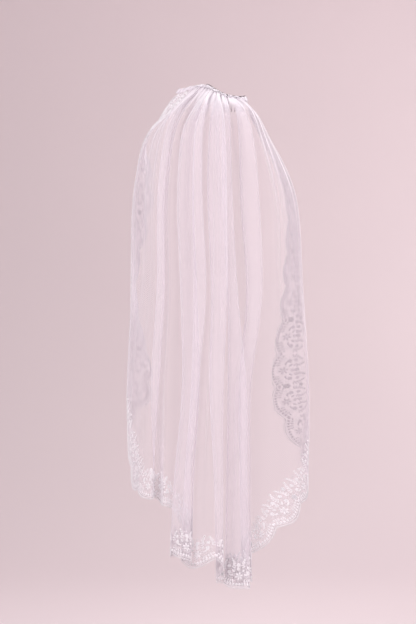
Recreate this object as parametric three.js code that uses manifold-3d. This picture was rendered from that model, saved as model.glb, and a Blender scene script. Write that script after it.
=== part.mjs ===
// A one-tier lace veil as it is worn: fine tulle gathered on a comb at the side of the neck,
// falling over the shoulder in deep folds, with a scalloped and pierced lace border along both
// side edges and the hem. Millimetres, +X to the wearer's front, +Z up, and -Y out from the
// shoulder. The origin is on the seat side of the comb, at its middle.

import * as THREE from 'three';
import { mergeVertices } from 'three/addons/utils/BufferGeometryUtils.js';
import Module from 'manifold-3d';

const wasm = await Module();
wasm.setup();

const tulleWall = 1.2;
const laceWall = 1.6;
const laceWidth = 55;
const scallopPitch = 64;
const laceAtHeading = { back: 34, front: 24 };
const scallopDepth = 11;
const seamGap = 0.9;
const sectionGap = 0.6;

const headingDepth = 10.5;
const headingWall = 2;
const gatherPitch = 5.4;
const gatherRise = 0.9;

const combRadius = 1.1;
const combToothRadius = 0.8;
const combToothLength = 30;
const combToothCount = 13;
const combStartShare = 0.36;
const combEndShare = 0.99;
const combClearance = 0.35;
const combSetback = 1.8;
const combToothSetback = 3.2;
const neckAxisDepth = 60;

const tulleRows = 19;
const rowCrowding = 1.25;
const lacePerRow = 3;
const columnStep = 14.5;

// Line across the top of the veil, from the back end of the gathers to the front end
const headingLine = new THREE.CatmullRomCurve3([
  new THREE.Vector3(-86, 12, 12),
  new THREE.Vector3(-67, 2, 15),
  new THREE.Vector3(-48, -3, 17),
  new THREE.Vector3(-31, -5, 16),
  new THREE.Vector3(-18, -6, 8),
  new THREE.Vector3(5, -6, -3),
  new THREE.Vector3(30, 3, -5),
  new THREE.Vector3(43, 24, 0),
]);

// Heights at which every fold line is given, and how far its depth has grown there
const levels = [
  { name: 'shoulder', height: -42, depthShare: 0.9 },
  { name: 'arm', height: -80, depthShare: 0.98 },
  { name: 'chest', height: -190, depthShare: 1 },
  { name: 'waist', height: -375, depthShare: 1 },
  { name: 'hip', height: -555, depthShare: 1 },
  { name: 'low', height: -725, depthShare: 1 },
  { name: 'foot', height: -955, depthShare: 1 },
];

// One row per fold line, from the back edge round the near side to the front edge: its cut
// length from heading to hem, its depth (Y), and its X at each level
const foldColumns = ['name', 'cut', 'depth', 'shoulder', 'arm', 'chest', 'waist', 'hip', 'low', 'foot'];
const foldTable = [
  ['backEdge', 600, 22, -123, -147, -135, -167, -135, -142, -150],
  ['backContour', 705, -15, -107, -147, -172, -177, -183, -178, -168],
  ['backCorner', 796, -62, -97, -122, -144, -150, -164, -169, -167],
  ['backPleatCrest', 814, -101, -86, -101, -113, -113, -124, -134, -136],
  ['backPleatReturn', 816, -71, -86, -103, -121, -124, -134, -132, -130],
  ['backPanel', 824, -96, -71, -86, -97, -95, -104, -108, -108],
  ['firstReturn', 890, -79, -46, -54, -58, -52, -48, -58, -62],
  ['firstCrest', 944, -108, -57, -75, -86, -81, -79, -93, -102],
  ['secondCrest', 954, -132, -34, -40, -42, -35, -50, -62, -64],
  ['secondReturn', 952, -110, -42, -54, -60, -58, -62, -74, -78],
  ['thirdCrest', 966, -142, -4, 0, 3, 2, -6, -8, -8],
  ['thirdReturn', 970, -104, -22, -27, -31, -24, -26, -17, -12],
  ['fourthCrest', 998, -127, 6, 8, 11, 21, 38, 39, 44],
  ['fourthReturn', 974, -94, -5, -5, -3, 6, 5, 3, 2],
  ['chestCrest', 980, -107, 34, 47, 60, 67, 46, 45, 49],
  ['chestReturn', 930, -80, 20, 24, 27, 40, 26, 28, 33],
  ['frontPanel', 890, -78, 48, 60, 83, 87, 83, 80, 76],
  ['frontCorner', 834, -54, 57, 74, 110, 125, 135, 138, 136],
  ['frontContour', 768, -18, 60, 83, 133, 149, 160, 158, 155],
  ['frontEdge', 620, 25, 52, 70, 115, 110, 92, 115, 123],
];
const folds = foldTable.map((row) => Object.fromEntries(foldColumns.map((key, i) => [key, row[i]])));

// Between these folds the columns of the tulle, and of its border, run straight down the grain
const tulleStraight = { from: 'backPleatCrest', to: 'chestReturn' };
const borderStraight = { from: 'firstReturn', to: 'chestReturn' };

const levelPoint = (fold, level) => new THREE.Vector3(
  fold[level.name], fold.depth * level.depthShare, level.height);

// The flat width is the length of the folded section, as a mean of the three middle levels
function addFlatPlaces() {
  const measured = levels.filter((level) => ['chest', 'waist', 'hip'].includes(level.name));
  folds[0].flatX = 0;
  for (let i = 1; i < folds.length; i += 1) {
    let span = 0;
    for (const level of measured) {
      span += levelPoint(folds[i - 1], level).distanceTo(levelPoint(folds[i], level));
    }
    folds[i].flatX = folds[i - 1].flatX + span / measured.length;
  }
}
addFlatPlaces();
const flatWidth = folds.at(-1).flatX;

// Width of flat cloth against length along the heading, where the lace at the ends is gathered least
const headingLength = headingLine.getLength();
const headingStops = [
  { flat: 0, drawn: 0 },
  { flat: laceWidth, drawn: laceAtHeading.back },
  { flat: flatWidth - laceWidth, drawn: headingLength - laceAtHeading.front },
  { flat: flatWidth, drawn: headingLength },
];

function readStops(given, wanted, value) {
  const next = Math.max(1, headingStops.findIndex((stop) => stop[given] >= value - 1e-9));
  const from = headingStops[next - 1];
  const to = headingStops[next];
  const share = (value - from[given]) / (to[given] - from[given]);
  return from[wanted] + share * (to[wanted] - from[wanted]);
}

// Each fold line as evenly spaced samples by cloth length from the heading
const sampleStep = 5;
for (const fold of folds) {
  const drawn = readStops('flat', 'drawn', fold.flatX);
  const start = headingLine.getPointAt(THREE.MathUtils.clamp(drawn / headingLength, 0, 1));
  const curve = new THREE.CatmullRomCurve3(
    [start, ...levels.map((level) => levelPoint(fold, level))], false, 'centripetal');
  curve.arcLengthDivisions = 800;
  const count = Math.floor(curve.getLength() / sampleStep);
  fold.samples = [];
  for (let i = 0; i <= count; i += 1) {
    fold.samples.push(curve.getPointAt(Math.min(1, i * sampleStep / curve.getLength())));
  }
}

function pointOnFold(fold, fall) {
  const place = THREE.MathUtils.clamp(fall / sampleStep, 0, fold.samples.length - 1.001);
  const index = Math.floor(place);
  return fold.samples[index].clone().lerp(fold.samples[index + 1], place - index);
}

// Rate of travel from one fold line to the next, for each millimetre of cloth between them
function travel(k, fall) {
  const from = folds[k];
  const to = folds[k + 1];
  return pointOnFold(to, fall).sub(pointOnFold(from, fall)).divideScalar(to.flatX - from.flatX);
}

// Direction of the cloth across a fold line, half way between arriving and leaving. It keeps
// the cloth's full rate of travel, so that each fold turns in a round bend
function turn(k, fall) {
  if (k === 0) {
    return travel(0, fall);
  }
  if (k === folds.length - 1) {
    return travel(k - 1, fall);
  }
  const arriving = travel(k - 1, fall);
  const leaving = travel(k, fall);
  const rate = (arriving.length() + leaving.length()) / 2;
  return arriving.normalize().add(leaving.normalize()).setLength(rate);
}

// Place in space of a point of the flat cloth: x across it, fall down it from the heading
function onCloth(x, fall) {
  const flat = THREE.MathUtils.clamp(x, 0, flatWidth);
  const next = folds.findIndex((fold) => fold.flatX > flat);
  const k = next < 0 ? folds.length - 2 : next - 1;
  const span = folds[k + 1].flatX - folds[k].flatX;
  const t = (flat - folds[k].flatX) / span;
  const t2 = t * t;
  const t3 = t2 * t;
  return pointOnFold(folds[k], fall).multiplyScalar(2 * t3 - 3 * t2 + 1)
    .addScaledVector(turn(k, fall), (t3 - 2 * t2 + t) * span)
    .addScaledVector(pointOnFold(folds[k + 1], fall), 3 * t2 - 2 * t3)
    .addScaledVector(turn(k + 1, fall), (t3 - t2) * span);
}

// Outline of the flat cloth from the heading down the back edge, along the hem and up the front
const topFall = headingDepth + seamGap;
const sidePoints = [0, 0.34, 0.67];
const outline = new THREE.CatmullRomCurve3([
  ...sidePoints.map((share) => new THREE.Vector3(0, topFall + share * (folds[0].cut - topFall), 0)),
  ...folds.map((fold) => new THREE.Vector3(fold.flatX, fold.cut, 0)),
  ...sidePoints.toReversed().map((share) => new THREE.Vector3(
    flatWidth, topFall + share * (folds.at(-1).cut - topFall), 0)),
], false, 'centripetal');
outline.arcLengthDivisions = 2000;
const outlineLength = outline.getLength();

const smooth = THREE.MathUtils.smoothstep;
const foldX = (name) => folds.find((item) => item.name === name).flatX;

// A point of the border: along the outline, and inward from the edge. Under the pleats the
// inward direction is straight up the grain; elsewhere it is square to the edge
function borderPoint(along, inward) {
  const share = THREE.MathUtils.clamp(along / outlineLength, 0, 1);
  const edge = outline.getPointAt(share);
  const tangent = outline.getTangentAt(share);
  const square = new THREE.Vector2(tangent.y, -tangent.x);
  const blend = smooth(edge.x, foldX('backCorner'), foldX(borderStraight.from))
    * (1 - smooth(edge.x, foldX(borderStraight.to), foldX('frontCorner')));
  square.lerp(new THREE.Vector2(0, -1), blend).normalize();
  return new THREE.Vector2(edge.x + square.x * inward, edge.y + square.y * inward);
}

// Length along the outline at which the seam, or the edge itself, crosses a fold line
function alongAtFold(name, inward) {
  let low = 0;
  let high = outlineLength;
  while (high - low > 0.001) {
    const middle = (low + high) / 2;
    if (borderPoint(middle, inward).x < foldX(name)) {
      low = middle;
    } else {
      high = middle;
    }
  }
  return (low + high) / 2;
}

// The border's columns: steps down each side that are closest at the heading, then steps along
// the hem that are closest at the folds
const between = (one, other) => (alongAtFold(one, 0) + alongAtFold(other, 0)) / 2;
const backCorner = between('backContour', 'backCorner');
const frontCorner = between('frontCorner', 'frontContour');

function sideColumns(from, to) {
  const columns = [];
  const count = tulleRows * lacePerRow;
  for (let i = 0; i < count; i += 1) {
    columns.push(from + (to - from) * (i / count) ** rowCrowding);
  }
  return columns;
}

function hemColumns() {
  const columns = [];
  const crossings = folds.map((fold) => alongAtFold(fold.name, laceWidth));
  const inside = crossings.filter((along) => along > backCorner && along < frontCorner);
  const stops = [backCorner, ...inside, frontCorner];
  for (let i = 0; i + 1 < stops.length; i += 1) {
    const from = stops[i];
    const to = stops[i + 1];
    const count = Math.max(2, Math.ceil((to - from) / columnStep));
    for (let n = 0; n < count; n += 1) {
      columns.push(from + (to - from) * (1 - Math.cos(Math.PI * n / count)) / 2);
    }
  }
  columns.push(frontCorner);
  return columns;
}

const backSide = sideColumns(0, backCorner);
const hem = hemColumns();
const frontSide = sideColumns(outlineLength, frontCorner);
const borderColumns = [...backSide, ...hem, ...frontSide.toReversed()];

// The tulle has one row for every few border columns, and the seam runs straight between its rows
const everyRow = (along, i) => i % lacePerRow === 0;
const seamSteps = [...backSide.filter(everyRow), ...hem, ...frontSide.filter(everyRow).toReversed()];

const placeOnCloth = (flat) => onCloth(flat.x, flat.y);

function seamPlace(along) {
  const next = Math.max(1, seamSteps.findIndex((step) => step >= along));
  const from = seamSteps[next - 1];
  const to = seamSteps[next];
  const share = THREE.MathUtils.clamp((along - from) / (to - from), 0, 1);
  const one = placeOnCloth(borderPoint(from, laceWidth));
  return one.lerp(placeOnCloth(borderPoint(to, laceWidth)), share);
}

// Mean direction through the middle one of three points in a row
function directionAt(before, here, after) {
  const arriving = here.clone().sub(before).normalize();
  return after.clone().sub(here).normalize().add(arriving);
}

function gridNormal(grid, i, j) {
  const lastColumn = grid.length - 1;
  const lastRow = grid[0].length - 1;
  const here = grid[i][j];
  const along = directionAt(grid[Math.max(0, i - 1)][j], here, grid[Math.min(lastColumn, i + 1)][j]);
  const down = directionAt(grid[i][Math.max(0, j - 1)], here, grid[i][Math.min(lastRow, j + 1)]);
  return down.cross(along).normalize();
}

// A wall over a grid of points; cells that keep() turns down are left open right through
function clothWall(grid, wall, keep = () => true, lift = () => 0) {
  const columns = grid.length;
  const rows = grid[0].length;
  const positions = [];
  const index = (i, j, side) => (i * rows + j) * 2 + side;
  for (let i = 0; i < columns; i += 1) {
    for (let j = 0; j < rows; j += 1) {
      const normal = gridNormal(grid, i, j);
      const centre = grid[i][j].clone().addScaledVector(normal, lift(i, j));
      positions.push(...centre.clone().addScaledVector(normal, wall / 2).toArray());
      positions.push(...centre.addScaledVector(normal, -wall / 2).toArray());
    }
  }
  const faces = [];
  const quad = (a, b, c, d) => faces.push(a, b, c, a, c, d);
  const kept = (i, j) => i >= 0 && j >= 0 && i < columns - 1 && j < rows - 1 && keep(i, j);
  for (let i = 0; i < columns - 1; i += 1) {
    for (let j = 0; j < rows - 1; j += 1) {
      if (kept(i, j)) {
        const ring = [[i, j], [i, j + 1], [i + 1, j + 1], [i + 1, j]];
        const beside = [[i - 1, j], [i, j + 1], [i + 1, j], [i, j - 1]];
        if (i < columns / 2) {
          ring.push(ring.shift());
          beside.push(beside.shift());
        }
        const [first, ...others] = ring;
        quad(...ring.map(([a, b]) => index(a, b, 0)));
        quad(...[first, ...others.toReversed()].map(([a, b]) => index(a, b, 1)));
        ring.forEach(([a, b], n) => {
          const [c, d] = ring[(n + 1) % ring.length];
          if (!kept(...beside[n])) {
            quad(index(a, b, 0), index(a, b, 1), index(c, d, 1), index(c, d, 0));
          }
        });
      }
    }
  }
  return tidyGeometry(positions, faces);
}

// One closed geometry from positions and faces, without unused points, faces turned outward
function tidyGeometry(positions, faces) {
  const geometry = new THREE.BufferGeometry();
  geometry.setAttribute('position', new THREE.Float32BufferAttribute(positions, 3));
  geometry.setIndex(faces);
  const loose = mergeVertices(geometry.toNonIndexed(), 1e-4);
  const place = loose.getAttribute('position');
  const order = loose.getIndex().array;
  const a = new THREE.Vector3();
  const b = new THREE.Vector3();
  const c = new THREE.Vector3();
  let volume = 0;
  for (let i = 0; i < order.length; i += 3) {
    a.fromBufferAttribute(place, order[i]);
    b.fromBufferAttribute(place, order[i + 1]);
    c.fromBufferAttribute(place, order[i + 2]);
    volume += a.dot(b.cross(c)) / 6;
  }
  if (volume < 0) {
    for (let i = 0; i < order.length; i += 3) {
      [order[i], order[i + 1]] = [order[i + 1], order[i]];
    }
  }
  loose.computeVertexNormals();
  return loose;
}

const materials = {
  tulle: new THREE.MeshStandardMaterial({ color: '#efe2e4', roughness: 0.85, side: THREE.DoubleSide }),
  lace: new THREE.MeshStandardMaterial({ color: '#f4eef1', roughness: 0.6, side: THREE.DoubleSide }),
  heading: new THREE.MeshStandardMaterial({ color: '#f0e6e9', roughness: 0.75 }),
  comb: new THREE.MeshStandardMaterial({ color: '#4a4448', roughness: 0.35, metalness: 0.9 }),
};

// The tulle: a grid between the heading and the inner line of the border
function tulleGrid() {
  const inner = laceWidth + seamGap;
  const bottom = hem.map((along) => borderPoint(along, inner));
  const left = [];
  const right = [];
  for (let j = 0; j <= tulleRows; j += 1) {
    const share = (j / tulleRows) ** rowCrowding;
    left.push(borderPoint(backCorner * share, inner));
    right.push(borderPoint(outlineLength + (frontCorner - outlineLength) * share, inner));
  }
  const first = bottom[0];
  const last = bottom.at(-1);
  return bottom.map((foot) => {
    const nearLeft = 1 - smooth(foot.x, first.x, foldX(tulleStraight.from));
    const nearRight = smooth(foot.x, foldX(tulleStraight.to), last.x);
    const topX = foot.x + (left[0].x - first.x) * nearLeft + (right[0].x - last.x) * nearRight;
    const column = [];
    for (let j = 0; j <= tulleRows; j += 1) {
      const share = (j / tulleRows) ** rowCrowding;
      const x = THREE.MathUtils.lerp(topX, foot.x, share)
        + nearLeft * (left[j].x - THREE.MathUtils.lerp(left[0].x, first.x, share))
        + nearRight * (right[j].x - THREE.MathUtils.lerp(right[0].x, last.x, share));
      const fall = THREE.MathUtils.lerp(topFall, foot.y, share)
        + nearLeft * (left[j].y - THREE.MathUtils.lerp(left[0].y, first.y, share))
        + nearRight * (right[j].y - THREE.MathUtils.lerp(right[0].y, last.y, share));
      column.push(placeOnCloth(new THREE.Vector2(x, fall)));
    }
    return column;
  });
}

// The lace border, row by row from the scalloped edge to the seam
const laceRows = [0, 14, 27, 41];
const scallopRow = (along) => scallopDepth * (1 - Math.abs(Math.sin(Math.PI * along / scallopPitch)));

// Openings between the motifs: a repeat of four columns with one opening in each inner row
const openingRepeat = 4;
const isOpening = (i, j) => (j === 1 && i % openingRepeat === 1) || (j === 2 && i % openingRepeat === 3);

function laceSection(from, to) {
  const inside = borderColumns.filter((along) => along > from + 1 && along < to - 1);
  const trim = (along) => (along > 0 && along < outlineLength ? sectionGap / 2 : 0);
  const columns = [from + trim(from), ...inside, to - trim(to)];
  const grid = columns.map((along) => [
    ...laceRows.map((row) => placeOnCloth(borderPoint(along, row || scallopRow(along)))),
    seamPlace(along),
  ]);
  const lastCell = columns.length - 3;
  return clothWall(grid, laceWall, (i, j) => i < 1 || i > lastCell || !isOpening(i, j));
}

// The heading: the drawn-up top of the cloth, in small upright gathers
function headingGrid() {
  const count = Math.round(headingLength / gatherPitch) * 2;
  const grid = [];
  for (let i = 0; i <= count; i += 1) {
    const x = readStops('drawn', 'flat', headingLength * i / count);
    grid.push([0, headingDepth / 2, headingDepth].map((fall) => (
      placeOnCloth(new THREE.Vector2(x, fall)))));
  }
  return grid;
}

// A round bar along a curve, with closed ends
function bar(curve, radius, steps, sides) {
  const section = new THREE.Shape();
  section.absarc(0, 0, radius, 0, Math.PI * 2);
  return new THREE.ExtrudeGeometry(section, {
    curveSegments: sides, steps, extrudePath: curve, bevelEnabled: false,
  });
}

function toSolid(geometry) {
  const bare = geometry.clone();
  bare.deleteAttribute('normal');
  bare.deleteAttribute('uv');
  const merged = mergeVertices(bare, 1e-4);
  return new wasm.Manifold(new wasm.Mesh({
    numProp: 3,
    vertProperties: new Float32Array(merged.getAttribute('position').array),
    triVerts: new Uint32Array(merged.getIndex().array),
  }));
}

function fromSolid(solid) {
  const mesh = solid.getMesh();
  const geometry = new THREE.BufferGeometry();
  geometry.setAttribute('position', new THREE.Float32BufferAttribute(mesh.vertProperties, 3));
  geometry.setIndex(new THREE.BufferAttribute(mesh.triVerts, 1));
  geometry.computeVertexNormals();
  return geometry;
}

// Level direction from a point of the heading toward the axis of the neck
function towardNeck(point) {
  return new THREE.Vector3(-point.x, neckAxisDepth - point.y, 0).normalize();
}

// The comb: a spine just above the heading, and teeth that run down behind it
function combGeometry() {
  const rise = new THREE.Vector3(0, 0, combRadius + combClearance);
  const spineSteps = 16;
  const spinePoints = [];
  for (let i = 0; i <= spineSteps; i += 1) {
    const share = THREE.MathUtils.lerp(combStartShare, combEndShare, i / spineSteps);
    const point = headingLine.getPointAt(share);
    spinePoints.push(point.addScaledVector(towardNeck(point), combSetback).add(rise));
  }
  const spine = new THREE.CatmullRomCurve3(spinePoints);
  let solid = toSolid(bar(spine, combRadius, spineSteps, 4));
  for (let i = 0; i < combToothCount; i += 1) {
    const top = spine.getPointAt((i + 0.5) / combToothCount);
    const inward = towardNeck(top);
    const bend = top.clone().addScaledVector(inward, combToothSetback);
    bend.z -= combRadius;
    const foot = bend.clone();
    foot.z = top.z - combToothLength;
    const tooth = new THREE.CatmullRomCurve3([top, bend, foot]);
    solid = solid.add(toSolid(bar(tooth, combToothRadius, 3, 3)));
  }
  return fromSolid(solid);
}

const veil = new THREE.Group();
veil.name = 'lace_veil';

function addPiece(name, geometry, material) {
  const mesh = new THREE.Mesh(geometry, material);
  mesh.name = name;
  veil.add(mesh);
}

addPiece('tulle_drape', clothWall(tulleGrid(), tulleWall), materials.tulle);

const backJoin = between('backPanel', 'firstReturn');
const frontJoin = between('thirdReturn', 'fourthCrest');
const sections = [
  { name: 'lace_back_edge', from: 0, to: backCorner },
  { name: 'lace_back_hem', from: backCorner, to: backJoin },
  { name: 'lace_centre_hem', from: backJoin, to: frontJoin },
  { name: 'lace_front_hem', from: frontJoin, to: frontCorner },
  { name: 'lace_front_edge', from: frontCorner, to: outlineLength },
];
for (const section of sections) {
  addPiece(section.name, laceSection(section.from, section.to), materials.lace);
}

addPiece('gathered_heading',
  clothWall(headingGrid(), headingWall, () => true, (i) => (i % 2 === 0 ? gatherRise : -gatherRise)),
  materials.heading);
addPiece('comb', combGeometry(), materials.comb);

export default veil;
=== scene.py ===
import math
from functools import partial

import bpy
import numpy as np
from mathutils.kdtree import KDTree
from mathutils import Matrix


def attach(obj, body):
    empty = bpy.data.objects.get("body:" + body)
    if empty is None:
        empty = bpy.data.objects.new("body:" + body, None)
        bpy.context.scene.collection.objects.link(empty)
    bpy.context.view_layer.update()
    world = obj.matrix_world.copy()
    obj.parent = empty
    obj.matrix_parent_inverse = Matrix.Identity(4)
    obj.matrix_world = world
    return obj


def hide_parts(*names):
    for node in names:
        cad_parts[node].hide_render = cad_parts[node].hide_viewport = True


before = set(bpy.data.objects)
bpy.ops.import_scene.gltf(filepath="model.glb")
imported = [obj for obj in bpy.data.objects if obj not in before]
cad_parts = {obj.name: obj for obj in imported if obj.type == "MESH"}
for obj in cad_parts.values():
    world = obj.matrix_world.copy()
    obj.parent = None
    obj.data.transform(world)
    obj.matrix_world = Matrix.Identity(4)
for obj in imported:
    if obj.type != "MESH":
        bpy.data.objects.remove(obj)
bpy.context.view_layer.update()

# A one-tier lace veil in its worn form, in millimetres until a mesh is made: +X to the front,
# +Z up, -Y out on the side that it falls over.
millimetre = 0.001
waveBand = 0.314  # width in metres of one band of a wave texture at scale 1
print("veil: shared frame loaded")


def linearColour(hexText):
    values = [int(hexText[i : i + 2], 16) / 255 for i in (1, 3, 5)]
    return [v / 12.92 if v <= 0.04045 else ((v + 0.055) / 1.055) ** 2.4 for v in values] + [1.0]


def addNode(tree, kind, settings=None, inputs=None, links=None):
    node = tree.nodes.new(kind)
    for name, value in (settings or {}).items():
        setattr(node, name, value)
    for name, value in (inputs or {}).items():
        node.inputs[name].default_value = value
    for name, source in (links or {}).items():
        tree.links.new(source, node.inputs[name])
    return node


def newMaterial(name):
    material = bpy.data.materials.new(name)
    material.use_nodes = True
    material.node_tree.nodes.clear()
    return material, partial(addNode, material.node_tree)


def mottle(add, place, values, scale, detail=2.0):
    # Soft clouds, and a tint that runs with them from a piece's shade to its colour
    cloud = add(
        "ShaderNodeTexNoise", inputs={"Scale": scale, "Detail": detail}, links={"Vector": place}
    )
    tint = add(
        "ShaderNodeMix", {"data_type": "RGBA"},
        {"A": linearColour(values["shade"]), "B": linearColour(values["colour"])},
        {"Factor": cloud.outputs["Fac"]},
    )
    return cloud.outputs["Fac"], tint.outputs["Result"]


def makePiece(name, points, faces, material, uvs=None, values=None):
    mesh = bpy.data.meshes.new(name)
    mesh.from_pydata((np.asarray(points) * millimetre).tolist(), [], faces)
    mesh.polygons.foreach_set("use_smooth", [True] * len(mesh.polygons))
    if uvs is not None:
        corners = np.empty(len(mesh.loops), dtype=np.int32)
        mesh.loops.foreach_get("vertex_index", corners)
        flat = (np.asarray(uvs) * millimetre)[corners]
        mesh.uv_layers.new(name="cloth").data.foreach_set("uv", flat.astype(np.float32).ravel())
    for key, numbers in (values or {}).items():
        attribute = mesh.attributes.new(key, "FLOAT", "POINT")
        attribute.data.foreach_set("value", np.asarray(numbers, dtype=np.float32))
    mesh.materials.append(material)
    mesh.update()
    piece = bpy.data.objects.new(name, mesh)
    bpy.context.scene.collection.objects.link(piece)
    return piece


def gridFaces(columns, rows):
    index = np.arange(columns * rows).reshape(columns, rows)
    faces = [index[:-1, :-1], index[:-1, 1:], index[1:, 1:], index[1:, :-1]]
    return np.stack(faces, axis=-1).reshape(-1, 4).tolist()


def unit(vectors):
    return vectors / np.maximum(np.linalg.norm(vectors, axis=-1, keepdims=True), 1e-9)


def smoothStep(value, low, high):
    t = np.clip((value - low) / (high - low), 0, 1)
    return t * t * (3 - 2 * t)


def smoothLine(points, perSpan=60):
    # A centripetal curve through the points, as close samples
    given = np.asarray(points, dtype=float)
    full = np.vstack([2 * given[0] - given[1], given, 2 * given[-1] - given[-2]])
    t = np.linspace(0, 1, perSpan, endpoint=False)[:, None]
    spans = []
    for a, b, c, d in zip(full[:-3], full[1:-2], full[2:-1], full[3:]):
        before, here, after = (
            max(np.linalg.norm(q - p), 1e-4) ** 0.5 for p, q in ((a, b), (b, c), (c, d))
        )
        leave = ((b - a) / before - (c - a) / (before + here) + (c - b) / here) * here
        arrive = ((c - b) / here - (d - b) / (here + after) + (d - c) / after) * here
        square = (3 * (c - b) - 2 * leave - arrive) * t**2
        spans.append(b + leave * t + square + (2 * (b - c) + leave + arrive) * t**3)
    return np.vstack(spans + [given[-1:]])


def lengthsOf(line):
    return np.concatenate([[0.0], np.cumsum(np.linalg.norm(np.diff(line, axis=0), axis=1))])


def atLength(line, lengths, where):
    return np.stack([np.interp(where, lengths, line[:, k]) for k in range(line.shape[1])], axis=-1)


clothValues = {
    "headingDepth": 10.5,  # the drawn-up top of the cloth
    "seamGap": 0.9,  # between the drawn-up top and the open cloth
    "scallopPitch": 64.8,
    "scallopDepth": 11,
    "laceWidth": 55,
    "laceAtHeading": (34, 24),  # length of heading that the lace takes at the back and front end
    "foldFalls": (0, 1048, 4),  # lengths down the cloth at which the fold lines are sampled
    "gridFalls": (-2, 1012, 3.5),  # and those of the cloth with its small folds
    "gridAcross": 0.8,
}

# Line across the top of the veil, from the back end of the gathers to the front end
headingPoints = [
    (-86, 12, 12), (-67, 2, 15), (-48, -3, 17), (-31, -5, 16),
    (-18, -6, 8), (5, -6, -3), (30, 3, -5), (43, 24, 0),
]

# Heights at which each fold line is given, and how far its depth has grown there
levels = [(-42, 0.9), (-80, 0.98), (-190, 1), (-375, 1), (-555, 1), (-725, 1), (-955, 1)]
flatLevels = (2, 3, 4)  # the levels whose section gives the flat width

# One row for each fold line, from the back edge round the near side to the front edge: its cut
# length, its depth (Y), its share of secondary folds, and its X at each level
foldTable = [
    ("backEdge", 600, 22, 0.3, (-123, -147, -135, -167, -135, -142, -150)),
    ("backContour", 705, -15, 0.35, (-107, -147, -172, -177, -183, -178, -168)),
    ("backCorner", 808, -62, 0.4, (-97, -122, -144, -150, -164, -169, -167)),
    ("backPleatCrest", 836, -101, 0.45, (-86, -101, -113, -113, -124, -137, -141)),
    ("backPleatReturn", 828, -71, 0.5, (-86, -103, -121, -124, -134, -127, -122)),
    ("backPanel", 845, -96, 0.7, (-71, -86, -97, -95, -104, -108, -108)),
    ("firstReturn", 887, -79, 0.8, (-46, -54, -58, -52, -48, -58, -62)),
    ("firstCrest", 944, -108, 1, (-57, -75, -86, -81, -79, -93, -102)),
    ("secondCrest", 954, -132, 1, (-34, -40, -42, -35, -50, -62, -64)),
    ("secondReturn", 952, -110, 1, (-42, -54, -60, -58, -62, -74, -78)),
    ("thirdCrest", 966, -142, 1, (-4, 0, 3, 2, -6, -8, -8)),
    ("thirdReturn", 976, -104, 1, (-22, -27, -31, -24, -26, -17, -12)),
    ("fourthCrest", 998, -127, 1, (6, 8, 11, 21, 38, 39, 44)),
    ("fourthReturn", 960, -94, 1, (-5, -5, -3, 6, 5, 3, 2)),
    ("chestCrest", 974, -107, 1, (34, 47, 60, 67, 46, 45, 49)),
    ("chestReturn", 930, -80, 0.9, (20, 24, 27, 40, 26, 28, 33)),
    ("frontPanel", 890, -78, 0.7, (48, 60, 83, 87, 83, 80, 76)),
    ("frontCorner", 834, -54, 0.45, (57, 74, 110, 125, 135, 138, 136)),
    ("frontContour", 768, -18, 0.35, (60, 83, 133, 149, 160, 158, 155)),
    ("frontEdge", 620, 25, 0.3, (52, 70, 115, 110, 92, 115, 123)),
]
foldCut = np.array([row[1] for row in foldTable], dtype=float)
foldShare = np.array([row[3] for row in foldTable])
foldPlaces = np.array(
    [
        [(x, depth * share, z) for x, (z, share) in zip(xs, levels)]
        for _, _, depth, _, xs in foldTable
    ],
    dtype=float,
)

foldSpans = np.linalg.norm(np.diff(foldPlaces, axis=0), axis=2)[:, flatLevels].mean(axis=1)
foldX = np.concatenate([[0.0], np.cumsum(foldSpans)])
foldAt = {row[0]: x for row, x in zip(foldTable, foldX)}
flatWidth = foldX[-1]

headingLine = smoothLine(headingPoints)
headingLengths = lengthsOf(headingLine)
headingLength = headingLengths[-1]

# Width of flat cloth against length along the heading, where the lace at the ends is gathered least
laceWidth, (laceBack, laceFront) = clothValues["laceWidth"], clothValues["laceAtHeading"]
headingFlat = np.array([0, laceWidth, flatWidth - laceWidth, flatWidth])
headingDrawn = np.array([0, laceBack, headingLength - laceFront, headingLength])

foldFalls = np.arange(*clothValues["foldFalls"], dtype=float)
foldLines = []
for place, x in zip(foldPlaces, foldX):
    start = atLength(headingLine, headingLengths, np.interp(x, headingFlat, headingDrawn))
    line = smoothLine(np.vstack([start, place]))
    foldLines.append(atLength(line, lengthsOf(line), foldFalls))
foldLines = np.array(foldLines)

# Across a fold line the cloth runs half way between arriving and leaving, at its full rate
rates = np.diff(foldLines, axis=0) / np.diff(foldX)[:, None, None]
speeds = np.linalg.norm(rates, axis=2, keepdims=True)
courses = rates / speeds
halfWay = unit(courses[:-1] + courses[1:]) * (speeds[:-1] + speeds[1:]) / 2
turns = np.concatenate([rates[:1], halfWay, rates[-1:]])


def guideAt(x, fall):
    # Place of the cloth's main folds: x across the flat cloth, fall down it from the heading
    x = np.clip(x, 0, flatWidth)
    k = np.clip(np.searchsorted(foldX, x, side="right") - 1, 0, len(foldX) - 2)
    span = (foldX[k + 1] - foldX[k])[..., None]
    t = (x[..., None] - foldX[k][..., None]) / span
    where = np.clip(fall / clothValues["foldFalls"][2], 0, len(foldFalls) - 1.001)
    row = where.astype(int)
    part = (where - row)[..., None]

    def pick(lines, index):
        return lines[index, row] * (1 - part) + lines[index, row + 1] * part

    return (
        pick(foldLines, k) * (2 * t**3 - 3 * t**2 + 1)
        + pick(turns, k) * span * (t**3 - 2 * t**2 + t)
        + pick(foldLines, k + 1) * (3 * t**2 - 2 * t**3)
        + pick(turns, k + 1) * span * (t**3 - t**2)
    )


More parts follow.
